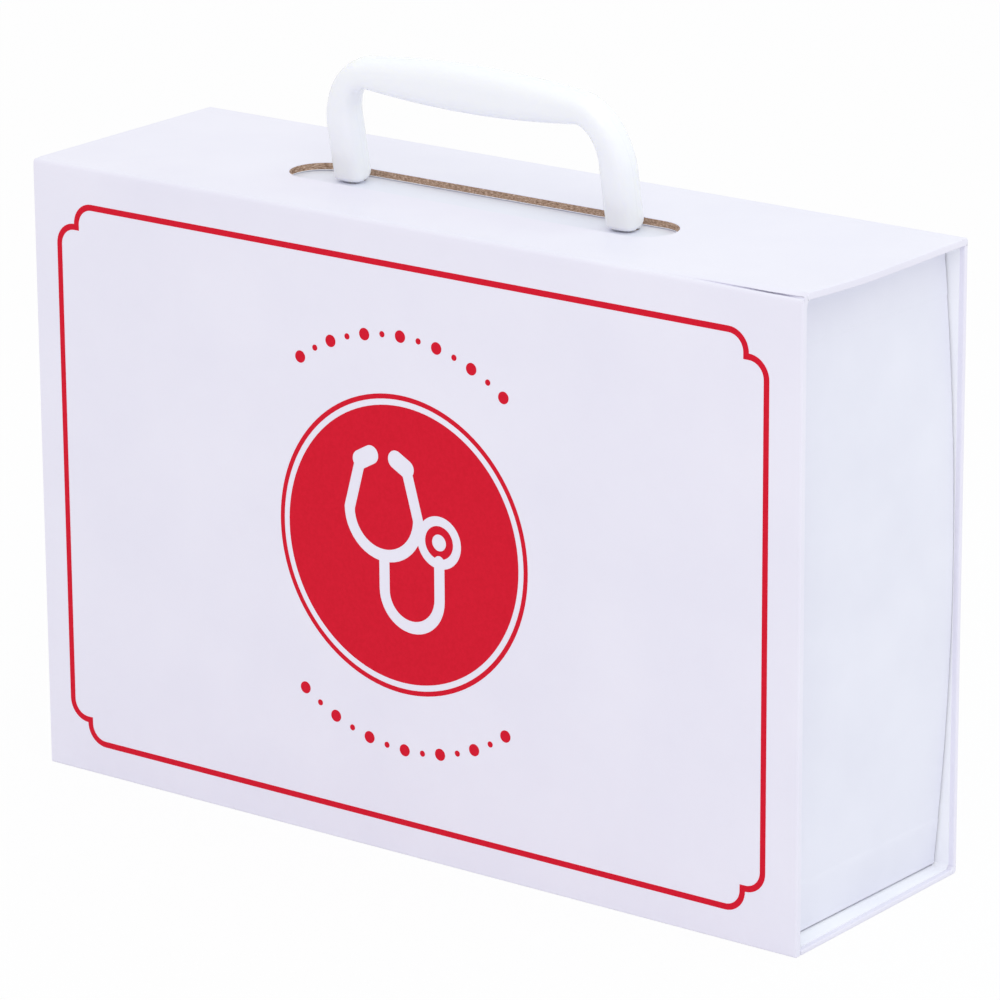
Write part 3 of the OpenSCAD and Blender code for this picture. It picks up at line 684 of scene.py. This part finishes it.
# Outside paper: from the tray's floor to the rim, over it and a little way down inside
bm = bmesh.new()
rim, roll = TRAY_RIM + PAPER, 0.24
neck_low, neck_high = PIN_Y - NECK_BEFORE, PIN_Y + NECK_BEHIND
depths = (TRAY_Y0, -34, -26, -18, -10, neck_low, neck_high, 9, 15, 21, 27, 32, 36, 39, rim - roll)
rings = [wall_ring(bm, y, TRAY_SKIN, 0.65, PAPER) for y in depths]
for c, s in map(turned, (18, 36, 54, 72, 90)):
    rings.append(wall_ring(bm, rim - roll + roll * s, TRAY_SKIN - roll + roll * c, 0.6, PAPER * c))
for c, s in map(turned, (90, 72, 54, 36, 18, 0)):
    rings.append(wall_ring(bm, rim - roll + roll * s, -TRAY_BOARD - PAPER + roll - roll * c, 0.4))
rings += [wall_ring(bm, y, -TRAY_BOARD - PAPER, 0.4) for y in (36, 32, TRAY_RIM - RIM_TURN)]
join_rings(bm, rings, lambda p: p.z > TRAY_TOP - 4 and neck_low < p.y < neck_high
           and abs(abs(p.x) - LEG_X) < NECK_HOLE)
# The top face lies a little lower than the lining that is glued to it, which leaves a fine line of shadow
for vertex in bm.verts:
    if vertex.co.z > TRAY_TOP + TRAY_SKIN - 0.01:
        vertex.co.z -= 0.12
tray_paper = finished("tray_covering", tidied(bm), tray_stock, smooth_angle=50.0, modifiers=SHEET,
                      bow=bowed_ends)
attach(tray_paper, "case")
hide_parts("tray_wrap")

# Lining: up the four walls from the floor, with a window for the backing strip behind the handle
bm = bmesh.new()
depths = (TRAY_RIM - RIM_TURN, 20, PIN_Y + BACKING_HALF_W, 5, -3, PIN_Y - BACKING_HALF_W, -18, -26, -34,
          TRAY_Y0 + TRAY_BOARD + 1.2, TRAY_Y0 + TRAY_BOARD + 0.55, TRAY_Y0 + TRAY_BOARD + PAPER)
rings = []
for i, y in enumerate(depths):
    # The sheet rounds the corner between wall and floor
    drawn = (0.0, 0.0, 0.25, 0.9)[max(0, i - len(depths) + 4)]
    rings.append(wall_ring(bm, y, -TRAY_BOARD - PAPER - HAIR - drawn, 0.7))
join_rings(bm, rings, lambda p: p.z > WALL_HIGH - 7 and abs(p.y - PIN_Y) < BACKING_HALF_W
           and abs(p.x) < BACKING_HALF_L)
bm.faces.new(rings[-1])
bmesh.ops.remove_doubles(bm, verts=bm.verts, dist=0.0005)
bmesh.ops.recalc_face_normals(bm, faces=bm.faces)
bmesh.ops.reverse_faces(bm, faces=bm.faces)
lining = finished("tray_lining_sheet", bm, tray_stock, smooth_angle=50.0, bow=bowed_ends)
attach(lining, "case")
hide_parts("tray_lining")


# Handle

# Power that rounds the handle's section between an oval and a rectangle, the narrowing of its bends, and
# the height of the line that the two halves of the mould leave
SQUARENESS, BEND_WAIST, FLASH = 0.7, 0.24, 0.07


def handle_stations():
    """Middle line of the handle from its right foot to its left one: x, z, half width, half thickness."""
    rows = []
    for t in (6, 12, 20, 28, 36, 44, 52, 60, 68, 76, 84):
        c, s = turned(t)
        rows.append((LEG_X, FOOT_Z - FOOT_H * c, LEG_W / 2 * s ** 0.3, FOOT_R * s ** 0.75))
    for t in spread(0, 0.94, 8):
        rows.append((LEG_X, FOOT_Z + (GRIP_Z - BEND_H - FOOT_Z) * t, LEG_W / 2, FOOT_R))
    for t in range(0, 91, 5):
        c, s = turned(t)
        wide = (LEG_W / 2 + (GRIP_END - LEG_W) / 2 * s) * (1 - BEND_WAIST * s * c)
        rows.append((LEG_X - BEND_W * (1 - c), GRIP_Z - BEND_H + BEND_H * s, wide, FOOT_R))
    reach = LEG_X - BEND_W
    for s in spread(1, 0, 12)[1:]:
        rows.append((reach * s, GRIP_Z, (GRIP_MID - (GRIP_MID - GRIP_END) * s * s) / 2, FOOT_R))
    return rows + [(-x, z, wide, thick) for x, z, wide, thick in reversed(rows[:-1])]


bm = bmesh.new()
rows = handle_stations()
# The parting line is drawn by extra points close to 0 and 180 degrees
angles = [360 * k / 56 for k in range(56) if k % 28]
angles = sorted(angles + [p + d for p in (0, 180) for d in (-1.4, -0.6, 0, 0.6, 1.4)])
rings = []
for i, (x, z, wide, thick) in enumerate(rows):
    before, after = rows[max(i - 1, 0)], rows[min(i + 1, len(rows) - 1)]
    step = Vector((after[0] - before[0], after[1] - before[1])).normalized()
    ring = []
    for a in angles:
        c, s = turned(a)
        across = math.copysign(abs(c) ** SQUARENESS, c) * wide
        if a in (0, 180) and 11 < i < len(rows) - 12:
            across += math.copysign(FLASH, c)
        deep = math.copysign(abs(s) ** SQUARENESS, s) * thick
        ring.append(bm.verts.new((x + step.y * across, deep, z - step.x * across)))
    rings.append(ring)
join_rings(bm, rings)
bm.faces.new(rings[0])
bm.faces.new(list(reversed(rings[-1])))
# Necks under the feet, with their knuckles round the pins
for side in (-1, 1):
    outline = [(NECK_HALF_T, FOOT_Z), (NECK_HALF_T, 1.5)]
    outline += [(KNUCKLE_R * c, KNUCKLE_R * s) for c, s in map(turned, range(30, -211, -15))]
    outline += [(-NECK_HALF_T, 1.5), (-NECK_HALF_T, FOOT_Z)]
    faces = [[bm.verts.new((side * LEG_X + x, y, z)) for y, z in outline]
             for x in (-NECK_HALF_W, NECK_HALF_W)]
    join_rings(bm, faces)
    bm.faces.new(faces[0])
    bm.faces.new(list(reversed(faces[1])))
bmesh.ops.recalc_face_normals(bm, faces=bm.faces)
leaning = Matrix.Translation((0, PIN_Y, PIN_Z)) @ Matrix.Rotation(math.radians(LEAN), 4, "X")
bmesh.ops.transform(bm, verts=bm.verts, matrix=leaning)
grip = finished("handle_moulding", bm, plastic, smooth_angle=60.0)
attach(grip, "handle")
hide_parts("handle")


# Floor, light and camera

def set_up_stage():
    """A plain white floor and a plain soft light from all round, a little stronger from the front right."""
    bm = bmesh.new()
    bmesh.ops.create_grid(bm, x_segments=1, y_segments=1, size=4000.0)
    material, tree, shader, place = new_material("painted_floor")
    # Matt white paint, which to the camera looks like the white all round it
    shader.inputs["Base Color"].default_value = linear("#F4F4F6")
    shader.inputs["Roughness"].default_value = 1.0
    shader.inputs["Specular IOR Level"].default_value = 0.0
    glow = add(tree, "ShaderNodeEmission", {"Color": (1, 1, 1, 1), "Strength": 1.0})
    path = add(tree, "ShaderNodeLightPath")
    # To the camera the floor is nearly all glow, and the rest is the paint, which takes a faint shadow
    seen = add(tree, "ShaderNodeMath", {0: path.outputs["Is Camera Ray"], 1: 0.93}, operation="MULTIPLY")
    both = add(tree, "ShaderNodeMixShader", {"Fac": seen.outputs["Value"]})
    tree.links.new(shader.outputs["BSDF"], both.inputs[1])
    tree.links.new(glow.outputs["Emission"], both.inputs[2])
    out = next(n for n in tree.nodes if n.type == "OUTPUT_MATERIAL")
    tree.links.new(both.outputs["Shader"], out.inputs["Surface"])
    floor = finished("floor", bm, material)

    world = bpy.data.worlds.new("soft_light")
    bpy.context.scene.world = world
    world.use_nodes = True
    tree = world.node_tree
    tree.nodes.clear()
    path = add(tree, "ShaderNodeLightPath")
    either = add(tree, "ShaderNodeMath", {0: path.outputs["Is Camera Ray"], 1: path.outputs["Is Glossy Ray"]},
                 operation="MAXIMUM")
    both = add(tree, "ShaderNodeMath", {0: either.outputs["Value"], 1: path.outputs["Is Transmission Ray"]},
               operation="MAXIMUM")
    level = add(tree, "ShaderNodeMapRange", {"Value": both.outputs["Value"], "To Min": 0.9, "To Max": 1.0})
    sky = add(tree, "ShaderNodeBackground", {"Color": (1, 1, 1, 1), "Strength": level.outputs["Result"]})
    add(tree, "ShaderNodeOutputWorld", {"Surface": sky.outputs["Background"]})

    # A soft box at the front right, and a weak cool one over the back, which makes the top a cooler white
    for name, size, energy, colour, location in (
            ("softbox", 1.4, 6.0, (1.0, 1.0, 1.0), (1.0, -0.9, 1.6)),
            ("cool_overhead", 0.5, 0.5, (0.6, 1.0, 0.75), (0.32, 0.25, 0.85))):
        lamp = bpy.data.lights.new(name, "AREA")
        lamp.shape, lamp.size, lamp.energy, lamp.color = "DISK", size, energy, colour
        box = bpy.data.objects.new(name, lamp)
        box.location = location
        box.rotation_euler = (Vector((0, 0, 0.1)) - box.location).to_track_quat("-Z", "Y").to_euler()
        bpy.context.scene.collection.objects.link(box)


set_up_stage()

camera = bpy.data.objects.new("camera", bpy.data.cameras.new("camera"))
bpy.context.scene.collection.objects.link(camera)
bpy.context.scene.camera = camera
camera.data.sensor_fit = "HORIZONTAL"
camera.data.sensor_width, camera.data.lens = 36.0, 204.08
camera.data.clip_start, camera.data.clip_end = 0.1, 20.0
azimuth, elevation, roll = (math.radians(a) for a in (37.071, 17.192, -0.356))
behind = Vector((math.sin(azimuth) * math.cos(elevation), -math.cos(azimuth) * math.cos(elevation),
                 math.sin(elevation)))
right = Vector((0, 0, 1)).cross(behind).normalized()
up = behind.cross(right)
right, up = math.cos(roll) * right + math.sin(roll) * up, math.cos(roll) * up - math.sin(roll) * right
place = (1.0448, -1.37705, 0.64202)
camera.matrix_world = Matrix([(right[i], up[i], behind[i], place[i]) for i in range(3)] + [(0, 0, 0, 1)])

bpy.context.scene.view_settings.view_transform = "Standard"
